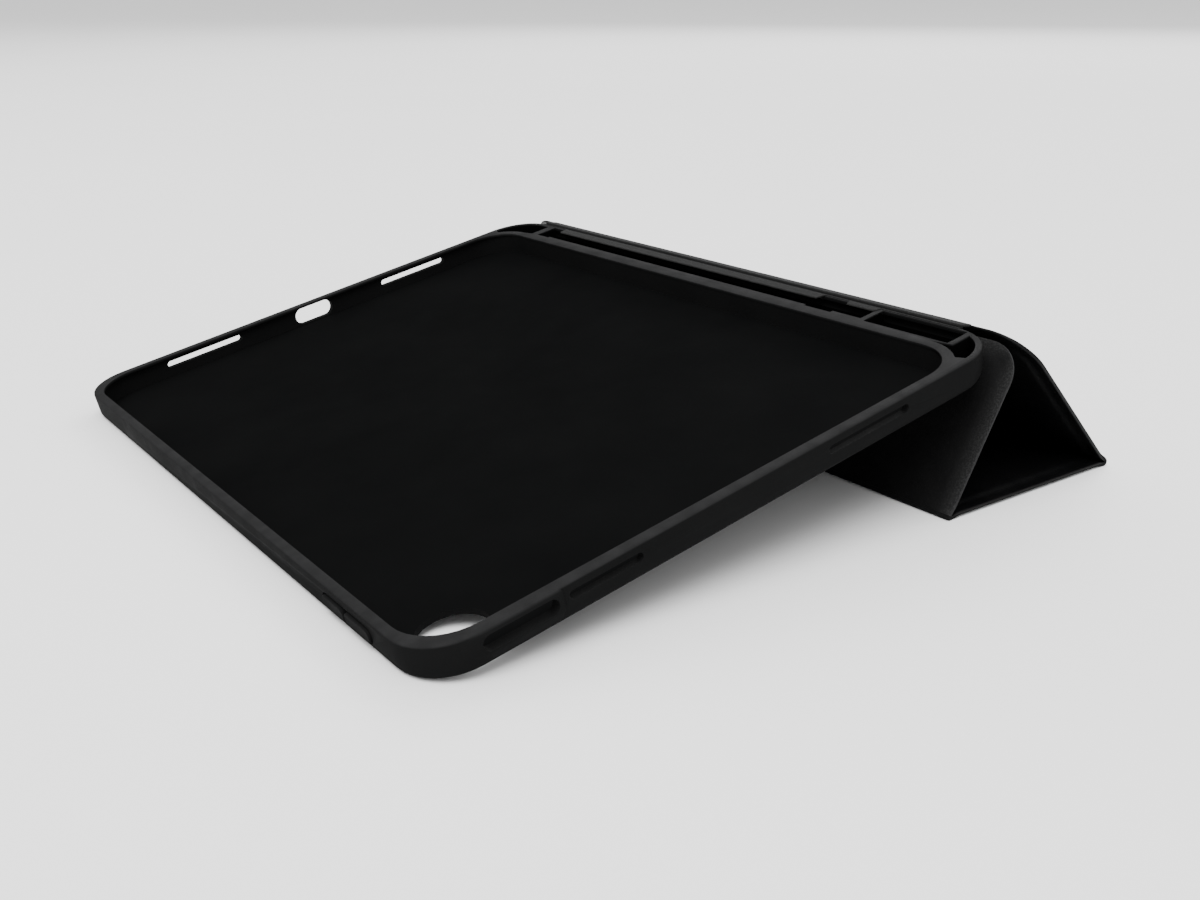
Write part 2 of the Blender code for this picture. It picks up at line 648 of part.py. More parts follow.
def main():
    clear_scene()
    case = make_collection("tablet_case")
    cutters = make_collection("tablet_case_cutters")
    materials = {
        "tray": make_material("soft_moulding", (0.012, 0.012, 0.013), 0.62),
        "skin": make_material("coated_skin", (0.010, 0.010, 0.011), 0.48),
        "lining": make_material("napped_lining", (0.022, 0.022, 0.023), 0.95),
        "spine": make_material("spine_cloth", (0.020, 0.020, 0.021), 0.90),
        "board": make_material("pressed_board", (0.20, 0.19, 0.17), 0.85),
        "steel": make_material("spring_steel", (0.55, 0.56, 0.58), 0.35, 1.0),
        "magnet": make_material("nickel_magnet", (0.66, 0.65, 0.62), 0.28, 1.0),
    }

    base_z, strip, back, bottom, front = stand_angles()
    tray_axis = empty("tray_frame", None, (0, -ROW_ORIGIN_Y, base_z), TRAY_TILT, case)
    axes = {}
    axes["crest_hinge"] = empty(
        "crest_hinge_axis", tray_axis, (0, *CREST_AXIS), strip - TRAY_TILT, case
    )
    axes["crest_fold"] = empty(
        "crest_fold_axis", axes["crest_hinge"], (0, STRIP_LENGTH, 0), back - strip, case
    )
    axes["back_fold"] = empty(
        "back_fold_axis", axes["crest_fold"], (0, BACK_PANEL, 0), bottom - back, case
    )
    axes["front_fold"] = empty(
        "front_fold_axis", axes["back_fold"], (0, BOTTOM_PANEL, 0), front - bottom, case
    )

    make_tray(case, cutters, tray_axis, materials["tray"])
    make_keys(case, tray_axis, materials["tray"])
    make_spine(case, tray_axis, materials["spine"])
    make_cover(case, cutters, axes, materials)


main()
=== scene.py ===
import json
import math

import bmesh
import bpy
from mathutils import Matrix, Vector, noise


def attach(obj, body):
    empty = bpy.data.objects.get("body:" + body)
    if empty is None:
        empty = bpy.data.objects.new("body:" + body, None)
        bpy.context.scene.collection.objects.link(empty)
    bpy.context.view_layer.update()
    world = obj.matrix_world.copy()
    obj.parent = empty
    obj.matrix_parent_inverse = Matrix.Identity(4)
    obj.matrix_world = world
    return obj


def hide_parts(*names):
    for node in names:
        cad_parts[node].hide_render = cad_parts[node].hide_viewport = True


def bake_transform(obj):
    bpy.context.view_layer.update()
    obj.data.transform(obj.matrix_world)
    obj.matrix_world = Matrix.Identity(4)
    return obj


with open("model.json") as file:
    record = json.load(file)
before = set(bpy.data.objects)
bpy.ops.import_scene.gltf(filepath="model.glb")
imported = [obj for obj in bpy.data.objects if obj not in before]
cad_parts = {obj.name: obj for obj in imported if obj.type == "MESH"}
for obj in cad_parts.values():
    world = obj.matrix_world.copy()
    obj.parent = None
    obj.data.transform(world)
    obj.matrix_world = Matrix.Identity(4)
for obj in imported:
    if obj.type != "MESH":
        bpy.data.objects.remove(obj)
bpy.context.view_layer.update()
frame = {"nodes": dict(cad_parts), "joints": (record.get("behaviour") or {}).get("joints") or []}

# The looks of a black folio case for a tablet: a soft moulded tray with a pencil trough, and a
# cover of three boards laminated between a coated skin and a napped lining, folded into a stand.
# Lengths are millimetres in the tray's frame or in a panel's own frame, as in the CAD source:
#   tray frame    X along the tray, Y from its front edge to the trough, Z out of the tablet's glass
#   panel frame   X along the fold, Y away from the fold it hangs on, Z towards the napped lining
MM = 0.001

# ------------------------------------------------------------------------------- the frames
TRAY_TILT = math.radians(12.03)
TRAY_ORIGIN = (-33.68, 27.06)                 # world Y and Z of the tray frame's origin
joints = {joint["name"]: joint for joint in frame["joints"]}
AXES = {name: Vector(joints[name]["pos_m"]) / MM for name in
        ("cover_swing", "crest_fold", "back_fold", "front_fold")}


def direction(start, end):
    """Angle about X, in the plane of Y and Z, of the line from one fold to the next."""
    return math.atan2(end.z - start.z, end.y - start.y)


STRIP_ANGLE = direction(AXES["cover_swing"], AXES["crest_fold"])
BACK_ANGLE = direction(AXES["crest_fold"], AXES["back_fold"])
BOTTOM_ANGLE = -math.pi
FRONT_ANGLE = math.radians(48.0) + TRAY_TILT
SPINE_ANGLE = math.radians(90.0) + TRAY_TILT
STRIP_LENGTH = (AXES["crest_fold"] - AXES["cover_swing"]).length
BACK_LENGTH = (AXES["back_fold"] - AXES["crest_fold"]).length
BOTTOM_LENGTH = (AXES["front_fold"] - AXES["back_fold"]).length
FRONT_LENGTH = 52.6                           # millimetres, like the lengths above it


def placed(origin_y, origin_z, angle):
    """The matrix from a frame in millimetres, turned about X, to world millimetres."""
    return Matrix.Translation((0, origin_y, origin_z)) @ Matrix.Rotation(angle, 4, "X")


def panel_frame(joint, angle):
    """The frame of a panel that hangs on a fold, with its Y along the panel."""
    return placed(AXES[joint].y, AXES[joint].z, angle)


TRAY_FRAME = placed(*TRAY_ORIGIN, TRAY_TILT)

# ------------------------------------------------------------------------------- dimensions
TRAY_HALF_LENGTH = 126.8
TRAY_FRONT = -91.6
BAY_FLOOR = -7.1
LIP_TOP = 1.0                                 # over the tablet's glass, which is at Z = 0
COVER_HALF_WIDTH = 129.5
CREST_CORNER = 14.0
FREE_CORNER = 11.0
STRIP_HALF_WIDTH = 110.0
STRIP_HALF = 0.45                             # half the crest strip's thickness
CLOTH = 0.6                                   # lining or skin, and half the pressed border
FULL_HALF = 1.3                               # half the thickness over a board
HEM = 8.0                                     # free edge beyond the last board
BOARD_INSET = 4.6                             # pressed edge outside each board
FOLD_CORE = 0.05                              # left hollow round a fold's axis
FOLD_STEP = 7.0                               # degrees between rows of vertices round a fold
RELIEF = 0.03                                 # kept open at a fold, so that flat panels don't touch
SPINE_DEPTH = 3.95                            # of the glued strip below the crest's hinge
KEY_Z = -4.0
KEY_HEIGHT = 4.0
KEY_PROUD = 0.6
KEY_DEPTH = 1.7
KEY_EDGE = 0.42                               # radius round its face
KEY_DISH = [(0.75, 0.01), (1.15, 0.05), (1.5, 0.08)]  # (in from the outline, depth) of its hollow
TRAY_SMOOTHING = 32.0                         # edges sharper than this angle stay sharp
KEY_SMOOTHING = 40.0
CLOTH_SMOOTHING = 50.0
KEYS = (("volume_down", 75.7, 87.5), ("volume_up", 88.0, 101.3))


# -------------------------------------------------------------------------- mesh functions
def finish_mesh(name, bm, to_world, materials, smooth_angle):
    """Store each vertex's place in its own frame, for the materials, and make the object.

    bm is in a frame's millimetres; to_world turns that into world millimetres.
    """
    bm.normal_update()
    mesh = bpy.data.meshes.new(name)
    bm.to_mesh(mesh)
    bm.free()
    attribute = mesh.attributes.new("own_mm", "FLOAT_VECTOR", "POINT")
    for item, vertex in zip(attribute.data, mesh.vertices):
        item.vector = vertex.co
    mesh.transform(Matrix.Scale(MM, 4) @ to_world)
    for material in materials:
        mesh.materials.append(material)
    mesh.polygons.foreach_set("use_smooth", [True] * len(mesh.polygons))
    piece = bpy.data.objects.new(name, mesh)
    bpy.context.scene.collection.objects.link(piece)
    mesh.set_sharp_from_angle(angle=math.radians(smooth_angle))
    return piece


def smoothstep(low, high, x):
    """Zero up to low, one from high on, and a smooth rise between them."""
    t = min(max((x - low) / (high - low), 0.0), 1.0)
    return t * t * (3 - 2 * t)


def spread(low, high, step):
    """Evenly spaced values, both ends included, no further apart than step."""
    count = max(1, math.ceil((high - low) / step))
    return [low + (high - low) * i / count for i in range(count + 1)]


def skin_grid(bm, rows):
    """Quads between rows of equally many vertices."""
    for lower, upper in zip(rows, rows[1:]):
        for i in range(len(lower) - 1):
            bm.faces.new((lower[i], lower[i + 1], upper[i + 1], upper[i]))


def close_sheet(bm, upper_rows, lower_rows, end_material, side_material):
    """Walls round two grids of vertices, so that they make a closed sheet."""
    last = len(upper_rows[0]) - 1
    for i in range(len(upper_rows) - 1):
        for j in (0, last):
            wall = (upper_rows[i][j], upper_rows[i + 1][j], lower_rows[i + 1][j], lower_rows[i][j])
            bm.faces.new(wall).material_index = side_material
    for upper, lower in ((upper_rows[0], lower_rows[0]), (upper_rows[-1], lower_rows[-1])):
        for j in range(last):
            wall = (upper[j], upper[j + 1], lower[j + 1], lower[j])
            bm.faces.new(wall).material_index = end_material


# ---------------------------------------------------------------------- material functions
class Nodes:
    """A short way to write a material's node tree."""

    def __init__(self, name):
        self.material = bpy.data.materials.new(name)
        self.material.use_nodes = True
        self.tree = self.material.node_tree
        self.shader = self.tree.nodes["Principled BSDF"]

    def node(self, kind, inputs=None, **settings):
        made = self.tree.nodes.new(kind)
        for key, value in settings.items():
            setattr(made, key, value)
        for key, value in (inputs or {}).items():
            self.feed(made.inputs[key], value)
        return made

    def feed(self, socket, value):
        if isinstance(value, bpy.types.NodeSocket):
            self.tree.links.new(value, socket)
        else:
            socket.default_value = value

    def place(self, stretch=(1, 1, 1)):
        """The surface's own place in millimetres, shrunk along each axis."""
        own = self.node("ShaderNodeAttribute", attribute_name="own_mm")
        scaled = self.node("ShaderNodeVectorMath", {0: own.outputs["Vector"], 1: stretch},
                           operation="MULTIPLY")
        return scaled.outputs[0]

    def noise(self, size, detail=3.0, roughness=0.55, stretch=(1, 1, 1), distortion=0.0):
        """Cloudy noise whose blotches are about size millimetres across."""
        return self.node("ShaderNodeTexNoise", {
            "Vector": self.place(stretch), "Scale": 1.0 / size, "Detail": detail,
            "Roughness": roughness, "Distortion": distortion}).outputs["Fac"]

    def cells(self, size, feature="F1", randomness=1.0, stretch=(1, 1, 1)):
        return self.node("ShaderNodeTexVoronoi", {
            "Vector": self.place(stretch), "Scale": 1.0 / size, "Randomness": randomness},
            feature=feature).outputs["Distance"]

    def ramp(self, value, low, high, out_low=0.0, out_high=1.0, smooth=True):
        return self.node("ShaderNodeMapRange", {
            "Value": value, "From Min": low, "From Max": high, "To Min": out_low,
            "To Max": out_high}, interpolation_type="SMOOTHSTEP" if smooth else "LINEAR").outputs[0]

    def math(self, operation, a, b=0.0):
        return self.node("ShaderNodeMath", {0: a, 1: b}, operation=operation).outputs[0]

    def mix(self, factor, a, b):
        made = self.node("ShaderNodeMix", data_type="RGBA")
        self.feed(made.inputs[0], factor)
        self.feed(made.inputs[6], a if isinstance(a, bpy.types.NodeSocket) else (*a, 1.0))
        self.feed(made.inputs[7], b if isinstance(b, bpy.types.NodeSocket) else (*b, 1.0))
        return made.outputs[2]

    def bump(self, height, depth_mm, below=None):
        """Relief whose full range is depth_mm deep, on top of another relief."""
        inputs = {"Height": height, "Distance": depth_mm * MM, "Strength": 1.0}
        if below is not None:
            inputs["Normal"] = below
        return self.node("ShaderNodeBump", inputs).outputs["Normal"]

    def coordinate(self, axis):
        """One coordinate of the surface's own place, in millimetres."""
        return self.node("ShaderNodeSeparateXYZ", {"Vector": self.place()}).outputs[axis]

    def set(self, **values):
        for key, value in values.items():
            self.feed(self.shader.inputs[key.replace("_", " ")], value)
        return self.material


# ----------------------------------------------------------------------------- the finishes
def moulding_material(name, dark, light, specular, dotted=False):
    """Soft elastomer from a spark-eroded mould, silky where hands rub it.

    The bay's floor is dotted, so that the tablet's smooth back doesn't cling to it. The rim's top
    gets a painted highlight.
    """
    n = Nodes(name)
    cloud = n.noise(34.0, 4.0)
    handling = n.ramp(n.noise(9.0, 4.0, 0.6), 0.45, 0.72)
    color = n.mix(cloud, dark, light)
    # Painted highlight: the top of the rim is painted lighter, in patches, for the light it
    # reflects.
    patchy = n.ramp(n.noise(6.0, 4.0), 0.30, 0.70, 0.50, 0.80)
    rim_top_highlight = n.math("MULTIPLY", n.ramp(n.coordinate("Z"), 0.35, 0.90), patchy)
    color = n.mix(rim_top_highlight, color, (0.0190, 0.0190, 0.0194))
    dust = n.ramp(n.noise(0.55, 2.0, 0.7), 0.74, 0.80)
    color = n.mix(n.math("MULTIPLY", dust, 0.25), color, (0.030, 0.029, 0.028))
    handled = n.math("MULTIPLY", handling, -0.08)
    roughness = n.math("ADD", n.ramp(cloud, 0.3, 0.7, 0.54, 0.62), handled)
    relief = n.bump(n.noise(0.32, 3.0, 0.65), 0.030)
    relief = n.bump(n.noise(26.0, 2.0), 0.12, relief)
    if dotted:
        dots = n.ramp(n.cells(1.25, randomness=0.0), 0.22, 0.34, 1.0, 0.0)
        relief = n.bump(dots, 0.10, relief)
        color = n.mix(n.math("MULTIPLY", dots, 0.45), color, (0.012, 0.012, 0.0124))
    return n.set(Base_Color=color, Roughness=roughness, Normal=relief, Specular_IOR_Level=specular)


def skin_material(name):
    """Coated leather-look skin: a fine pebble grain with a low gloss, and faint smudges."""
    n = Nodes(name)
    pebble = n.ramp(n.cells(0.62, "SMOOTH_F1"), 0.05, 0.55, 1.0, 0.0)
    crackle = n.ramp(n.cells(1.9, "DISTANCE_TO_EDGE", stretch=(0.8, 1.2, 1)), 0.0, 0.10)
    cloud = n.noise(22.0, 4.0, 0.6)
    smudge = n.ramp(n.noise(13.0, 5.0, 0.65, (0.5, 1.2, 1), 0.6), 0.46, 0.70)
    color = n.mix(cloud, (0.0014, 0.0015, 0.0016), (0.0027, 0.0027, 0.0029))
    smudged = n.math("MULTIPLY", smudge, -0.09)
    roughness = n.math("ADD", n.ramp(cloud, 0.3, 0.7, 0.40, 0.50), smudged)
    relief = n.bump(pebble, 0.035)
    relief = n.bump(crackle, 0.020, relief)
    relief = n.bump(n.noise(7.0, 3.0), 0.10, relief)
    return n.set(Base_Color=color, Roughness=roughness, Normal=relief, Specular_IOR_Level=0.11)


def nap_material(name, dark, light, sheen, blotch=11.0, worn_edge=False):
    """Napped microfibre: a dense short pile, brushed lighter and darker in soft patches.

    Along a handled edge the pile is roughed up, so it is lighter and grainier there.
    """
    n = Nodes(name)
    fibre = n.noise(0.20, 4.0, 0.75, (1.0, 0.45, 1.0))
    clump = n.noise(1.1, 4.0, 0.65, (1.0, 0.6, 1.0), 0.4)
    brushed = n.ramp(n.noise(blotch, 4.0, 0.6, (0.7, 1.0, 1.0), 0.8), 0.34, 0.66)
    streak = n.noise(2.6, 3.0, 0.6, (0.12, 1.0, 1.0))
    shade = n.math("ADD", n.math("MULTIPLY", brushed, 0.45), n.math("MULTIPLY", clump, 0.35))
    shade = n.math("ADD", shade, n.math("MULTIPLY", streak, 0.20))
    color = n.mix(shade, dark, light)
    tips = n.ramp(n.noise(0.42, 3.0, 0.7), 0.56, 0.70)
    color = n.mix(n.math("MULTIPLY", tips, 0.55), color, tuple(2.6 * c for c in light))
    if worn_edge:
        from_side = n.math("SUBTRACT", COVER_HALF_WIDTH, n.math("ABSOLUTE", n.coordinate("X")))
        from_end = n.math("SUBTRACT", FRONT_LENGTH, n.coordinate("Y"))
        near_edge = n.ramp(n.math("MINIMUM", from_side, from_end), 0.0, 5.5, 1.0, 0.0)
        rough = n.ramp(n.noise(0.55, 4.0, 0.8), 0.42, 0.66)
        worn = n.math("MULTIPLY", near_edge, n.math("ADD", n.math("MULTIPLY", rough, 0.75), 0.15))
        color = n.mix(worn, color, (0.030, 0.030, 0.030))
    lint = n.ramp(n.noise(0.50, 1.0, 0.6), 0.78, 0.82)
    color = n.mix(n.math("MULTIPLY", lint, 0.30), color, (0.040, 0.040, 0.038))
    relief = n.bump(fibre, 0.09)
    relief = n.bump(clump, 0.12, relief)
    n.shader.inputs["Sheen Weight"].default_value = sheen
    n.shader.inputs["Sheen Roughness"].default_value = 0.45
    n.shader.inputs["Sheen Tint"].default_value = (0.62, 0.63, 0.66, 1.0)
    roughness = n.ramp(brushed, 0.0, 1.0, 0.88, 0.97)
    return n.set(Base_Color=color, Roughness=roughness, Normal=relief, Specular_IOR_Level=0.08)


def board_material(name):
    """Pressed grey-brown board with flecks of fibre."""
    n = Nodes(name)
    fleck = n.ramp(n.noise(0.8, 4.0, 0.7, (1, 3, 1)), 0.55, 0.70)
    color = n.mix(n.noise(6.0, 4.0), (0.17, 0.16, 0.14), (0.25, 0.23, 0.20))
    color = n.mix(fleck, color, (0.33, 0.31, 0.27))
    return n.set(Base_Color=color, Roughness=n.ramp(fleck, 0, 1, 0.80, 0.92),
                 Normal=n.bump(fleck, 0.05))


def metal_material(name, color, roughness):
    """Bright sheet metal with fine rolling lines."""
    n = Nodes(name)
    place = n.node("ShaderNodeTexCoord").outputs["Object"]
    rolled = n.node("ShaderNodeTexNoise", {"Vector": place, "Scale": 900.0, "Detail": 3.0})
    lines = rolled.outputs["Fac"]
    darker = tuple(0.8 * c for c in color)
    n.shader.inputs["Metallic"].default_value = 1.0
    return n.set(Base_Color=n.mix(lines, darker, color), Normal=n.bump(lines, 0.01),
                 Roughness=n.ramp(lines, 0.3, 0.7, roughness - 0.06, roughness + 0.08))


MOULDING = moulding_material("soft_moulding_finish", (0.0047, 0.0048, 0.0049),
                             (0.0078, 0.0079, 0.0079), 0.007)
# The bay floor's copy is painted darker and nearly without reflection: painted shade in the bay.
# Its dots are real.
MOULDING_DOTTED_PAINTED_SHADE = moulding_material("soft_moulding_dotted_floor_painted_shade", (0.0024, 0.0025, 0.0026),
                                    (0.0044, 0.0045, 0.0045), 0.0004, dotted=True)
# The copy for the channel and the rear pockets is painted darker still, with little reflection:
# painted shade in the recesses.
MOULDING_TROUGH_PAINTED_SHADE = moulding_material("soft_moulding_trough_painted_shade", (0.0011, 0.0011, 0.0012),
                                    (0.0019, 0.0019, 0.0019), 0.001)
SKIN = skin_material("coated_skin_finish")
NAP_SHADES = ((0.0020, 0.0020, 0.0021), (0.0056, 0.0056, 0.0057))
NAP = nap_material("napped_lining_finish", *NAP_SHADES, 0.02)
NAP_WORN = nap_material("napped_lining_worn_edge", *NAP_SHADES, 0.02, worn_edge=True)
CREST_NAP = nap_material("crest_cloth_finish", (0.0055, 0.0055, 0.0055),
                         (0.0130, 0.0130, 0.0126), 0.05, 6.0)
CUT_EDGE = nap_material("cut_edge_finish", (0.0080, 0.0080, 0.0082),
                        (0.0210, 0.0210, 0.0210), 0.08, 2.0)
BOARD = board_material("pressed_board_finish")
STEEL = metal_material("spring_steel_finish", (0.55, 0.56, 0.58), 0.35)
NICKEL = metal_material("nickel_magnet_finish", (0.66, 0.65, 0.62), 0.28)


# ------------------------------------------------------------------------------- the tray
SAME_PLACE = 0.002                            # vertices closer than this are merged
SAME_PLANE = 0.6                              # degrees between faces that are merged
TROUGH_AXIS = (98.7, -2.77)                   # its Y and Z
CHANNEL_RADIUS = 4.6
CHANNEL_END = 114.0
BAY_CORNER_CENTER = (108.3, 73.75)
BAY_CORNER_RADIUS = 16.3
BAY_CORNER_WALL = 3.0                         # between the bay and a rear pocket
REAR_CORNER_CENTER = (110.0, 87.7)
REAR_CORNER_RADIUS = 16.8
POCKET_WALL = 2.0
POCKET_FLOOR = -5.8
POCKET_START = 104.3
RIM_BAND = 0.3                                # depth below the lip that looks like the outside
CLOSE_TO = 0.1                                # a place this near to a wall counts as on it


def make_tray():
    """The moulding in its CAD shape, with flats merged and its outer sharp edges softened."""
    bm = bmesh.new()
    bm.from_mesh(frame["nodes"]["tray_shell"].data)
    bmesh.ops.transform(bm, matrix=TRAY_FRAME.inverted() @ Matrix.Scale(1 / MM, 4), verts=bm.verts)
    bmesh.ops.remove_doubles(bm, verts=bm.verts, dist=SAME_PLACE)
    bmesh.ops.dissolve_limit(bm, angle_limit=math.radians(SAME_PLANE),
                             verts=bm.verts, edges=bm.edges)
    soften_edges(bm)
    # The bay floor and the trough's channel and pockets take darker copies of the finish: painted
    # shade.
    finishes = (MOULDING, MOULDING_DOTTED_PAINTED_SHADE, MOULDING_TROUGH_PAINTED_SHADE)
    for face in bm.faces:
        center = face.calc_center_median()
        on_floor = abs(center.z - BAY_FLOOR) < 0.05 and face.normal.z > 0.9
        if on_floor:
            face.material_index = finishes.index(MOULDING_DOTTED_PAINTED_SHADE)
        elif inside_trough(center):
            face.material_index = finishes.index(MOULDING_TROUGH_PAINTED_SHADE)
    piece = finish_mesh("tray_moulding", bm, TRAY_FRAME, finishes, TRAY_SMOOTHING)
    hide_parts("tray_shell")
    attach(piece, "tray")


def inside_trough(place):
    """Whether a place on the tray lies in the pencil's channel or one of the rear pockets."""
    if place.z > LIP_TOP - RIM_BAND:
        return False
    from_axis = math.hypot(place.y - TROUGH_AXIS[0], place.z - TROUGH_AXIS[1])
    if abs(place.x) < CHANNEL_END and from_axis < CHANNEL_RADIUS + CLOSE_TO:
        return True
    if abs(place.x) < POCKET_START or place.z < POCKET_FLOOR - CLOSE_TO:
        return False
    past_bay_x = max(abs(place.x) - BAY_CORNER_CENTER[0], 0.0)
    past_bay_y = place.y - BAY_CORNER_CENTER[1]
    past_rear_x = max(abs(place.x) - REAR_CORNER_CENTER[0], 0.0)
    past_rear_y = max(place.y - REAR_CORNER_CENTER[1], 0.0)
    bay_reach = BAY_CORNER_RADIUS + BAY_CORNER_WALL / 2
    beyond_bay = past_bay_y > 0.0 and math.hypot(past_bay_x, past_bay_y) > bay_reach
    within_wall = math.hypot(past_rear_x, past_rear_y) < REAR_CORNER_RADIUS - POCKET_WALL / 2
    return beyond_bay and within_wall


EDGE_SOFTENING = 0.22
SOFTENED_ANGLE = 55.0                         # edges sharper than this are softened
SHORTEST_SOFTENED = 0.15


def soften_edges(bm):
    """Round the long sharp edges of the rim and of the openings in the side walls."""
    bm.normal_update()
    chosen = []
    for edge in bm.edges:
        if len(edge.link_faces) != 2 or edge.calc_length() < SHORTEST_SOFTENED:
            continue
        if not edge.is_convex or math.degrees(edge.calc_face_angle()) < SOFTENED_ANGLE:
            continue
        middle = (edge.verts[0].co + edge.verts[1].co) / 2
        on_rim = middle.z > LIP_TOP - CLOSE_TO
        on_end = abs(middle.x) > TRAY_HALF_LENGTH - CLOSE_TO
        on_front = middle.y < TRAY_FRONT + CLOSE_TO
        if on_rim or on_end or on_front:
            chosen.append(edge)
    bmesh.ops.bevel(bm, geom=chosen, offset=EDGE_SOFTENING, offset_type="OFFSET", segments=2,
                    profile=0.5, affect="EDGES", clamp_overlap=True)


# --------------------------------------------------------------------------- the volume keys
def stadium(half_length, radius, inset, steps=10):
    """A round-ended outline in X and Z, pulled in by inset."""
    r = radius - inset
    straight = half_length - radius
    points = []
    for side, first in ((1, -90.0), (-1, 90.0)):
        for i in range(steps + 1):
            angle = math.radians(first + 180.0 * i / steps)
            points.append((side * straight + r * math.cos(angle), r * math.sin(angle)))
    return points


def make_key(body, x0, x1):
    """A key cap with a rounded edge and a slightly dished face."""
    half_length = (x1 - x0) / 2
    radius = KEY_HEIGHT / 2
    rings = [(0.0, KEY_DEPTH), (0.0, KEY_EDGE + 0.1)]
    for degrees in range(0, 91, 15):
        turn = math.radians(degrees)
        rings.append((KEY_EDGE * (1 - math.cos(turn)), KEY_EDGE * (1 - math.sin(turn))))
    rings += KEY_DISH
    bm = bmesh.new()
    made = []
    for inset, depth in rings:
        y = TRAY_FRONT - KEY_PROUD + depth
        outline = stadium(half_length, radius, inset)
        made.append([bm.verts.new(((x0 + x1) / 2 + x, y, KEY_Z + z)) for x, z in outline])
    for outer, inner in zip(made, made[1:]):
        count = len(outer)
        for i in range(count):
            bm.faces.new((outer[i], outer[(i + 1) % count], inner[(i + 1) % count], inner[i]))
    bm.faces.new(made[-1])
    bm.faces.new(list(reversed(made[0])))
    bmesh.ops.recalc_face_normals(bm, faces=bm.faces)
    piece = finish_mesh(body + "_cap", bm, TRAY_FRAME, (MOULDING,), KEY_SMOOTHING)
    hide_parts(body + "_key")
    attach(piece, body)


# ------------------------------------------------------------------------------- the cover
GROOVE_DEPTH = 0.10                           # of the groove pressed beside a board
GROOVE = (0.8, 2.8, 4.0)                      # its start, bottom and end, in from a cut edge
BOARD_RISE = (3.3, 5.6)                       # where the sheets rise over a board, likewise
BOARD_SLOPE = (1.3, 0.9)                      # of the skin, out from a board's end and in from it
DOUBLED = 5.0                                 # length beside a fold where the cloth is doubled
PINCHED = 0.12                                # the part of the skin's depth left at a fold
PINCH_LENGTH = 3.6
EVEN_BORDER = (3.0, 9.0)                      # unevenness grows between these, in from any edge
THINNED = 4.0                                 # length beside the crest where the cloth thins
NO_FOLD = COVER_HALF_WIDTH                    # stands for the distance to a fold that isn't there
ROW_STEP = 3.0                                # the widest gap between rows of vertices
# Rows of vertices, out from a fold and in from a cut edge.
FOLD_ROWS = (0.3, 0.8, 1.3, 1.8, 2.3, 2.8, 3.3, 3.9, 4.5, 5.2)
CUT_EDGE_ROWS = (0.12, 0.3, 0.6, 1.0, 1.6, 2.2, 2.8, 3.3, 3.8, 4.4, 5.0, 5.6)
CLOSEST_ROWS = 0.06                           # rows any closer are left out
EDGE_WANDER = 0.05                            # of a cut edge to either side of its line
EDGE_ROUNDING = 0.5                           # radius of a cut edge
JOINED = 0.0005                               # vertices of a sheet closer than this are merged


def corner_distance(x, y, panel):
    """Distance in from a panel's cut outline; folds don't count as cut."""
    from_side = COVER_HALF_WIDTH - abs(x)
    distance = from_side
    for end, sign in ((panel["cut_start"], 1), (panel["cut_end"], -1)):
        if end is None:
            continue
        from_end = sign * (y - end)
        distance = min(distance, from_end)
        corner = panel["corner"]
        if from_side < corner and from_end < corner:
            distance = min(distance, corner - math.hypot(corner - from_side, corner - from_end))
    return max(distance, 0.0)


def border_half(d, fold_distance=0.0):
    """Half the cover's thickness, by distance in from a cut edge.

    Lining and skin are pressed together outside the board, with a groove beside it.  Beside a
    fold the cloth is doubled, so there the edge stays as thick as the rest.
    """
    start, bottom, end = GROOVE
    pressed = CLOTH - GROOVE_DEPTH * smoothstep(start, bottom, d) * (1 - smoothstep(bottom, end, d))
    over_board = smoothstep(*BOARD_RISE, d)
    doubled = 1 - smoothstep(0.0, DOUBLED, fold_distance)
    return pressed + (FULL_HALF - pressed) * max(over_board, doubled)


def fold_ramp(y, panel):
    """One over the board, falling to zero towards the folds it stops short of."""
    start, end = panel["board"]
    out, into = BOARD_SLOPE
    rise = smoothstep(start - out, start + into, y)
    return rise * (1 - smoothstep(end - into, end + out, y))


def half_width(y, panel):
    """Half the panel's width at a place along it, less in its rounded corners."""
    width = COVER_HALF_WIDTH
    for end, sign in ((panel["cut_start"], 1), (panel["cut_end"], -1)):
        if end is None:
            continue
        corner = panel["corner"]
        into = corner - sign * (y - end)
        if into > 0:
            width = COVER_HALF_WIDTH - corner + math.sqrt(max(corner ** 2 - into ** 2, 0.0))
    return width


def rows_along(panel):
    """Places for rows of vertices, close together in corners, borders and folds."""
    start, end = panel["span"]
    places = set(spread(start, end, ROW_STEP))
    for cut, sign in ((panel["cut_start"], 1), (panel["cut_end"], -1)):
        if cut is None:
            continue
        corner = panel["corner"]
        places |= {cut + sign * corner * (1 - math.cos(math.radians(a))) for a in range(0, 91, 5)}
        places |= {cut + sign * d for d in CUT_EDGE_ROWS}
    for fold, sign in ((start, 1), (end, -1)):
        places |= {fold + sign * d for d in FOLD_ROWS}
    kept = []
    for place in sorted(p for p in places if start - 1e-6 <= p <= end + 1e-6):
        if not kept or place - kept[-1] > CLOSEST_ROWS:
            kept.append(place)
    kept[-1] = end
    return kept


# Places across a panel's edge, as distances in from its side, and how many spans lie between.
ACROSS = [0.0, 0.04, 0.12, 0.26, 0.5, 0.9, 1.5, 2.1, 2.7, 3.2, 3.6, 4.0, 4.4, 4.8, 5.2, 5.6, 6.6]
INNER_COLUMNS = 64


def columns(width):
    """Places for one row of vertices; every row has equally many."""
    reach = width - ACROSS[-1]
    inner = [reach * (2 * i / INNER_COLUMNS - 1) for i in range(INNER_COLUMNS + 1)]
    left = [-width + d for d in ACROSS[:-1]]
    return left + inner + [-x for x in reversed(left)]


def unevenness(x, y, seed):
    """How far glued cloth lies off true, in millimetres."""
    broad = noise.noise(Vector((x / 31.0, y / 19.0, seed)))
    fine = noise.noise(Vector((x / 9.0, y / 7.0, seed + 5.0)))
    return 0.085 * broad + 0.030 * fine


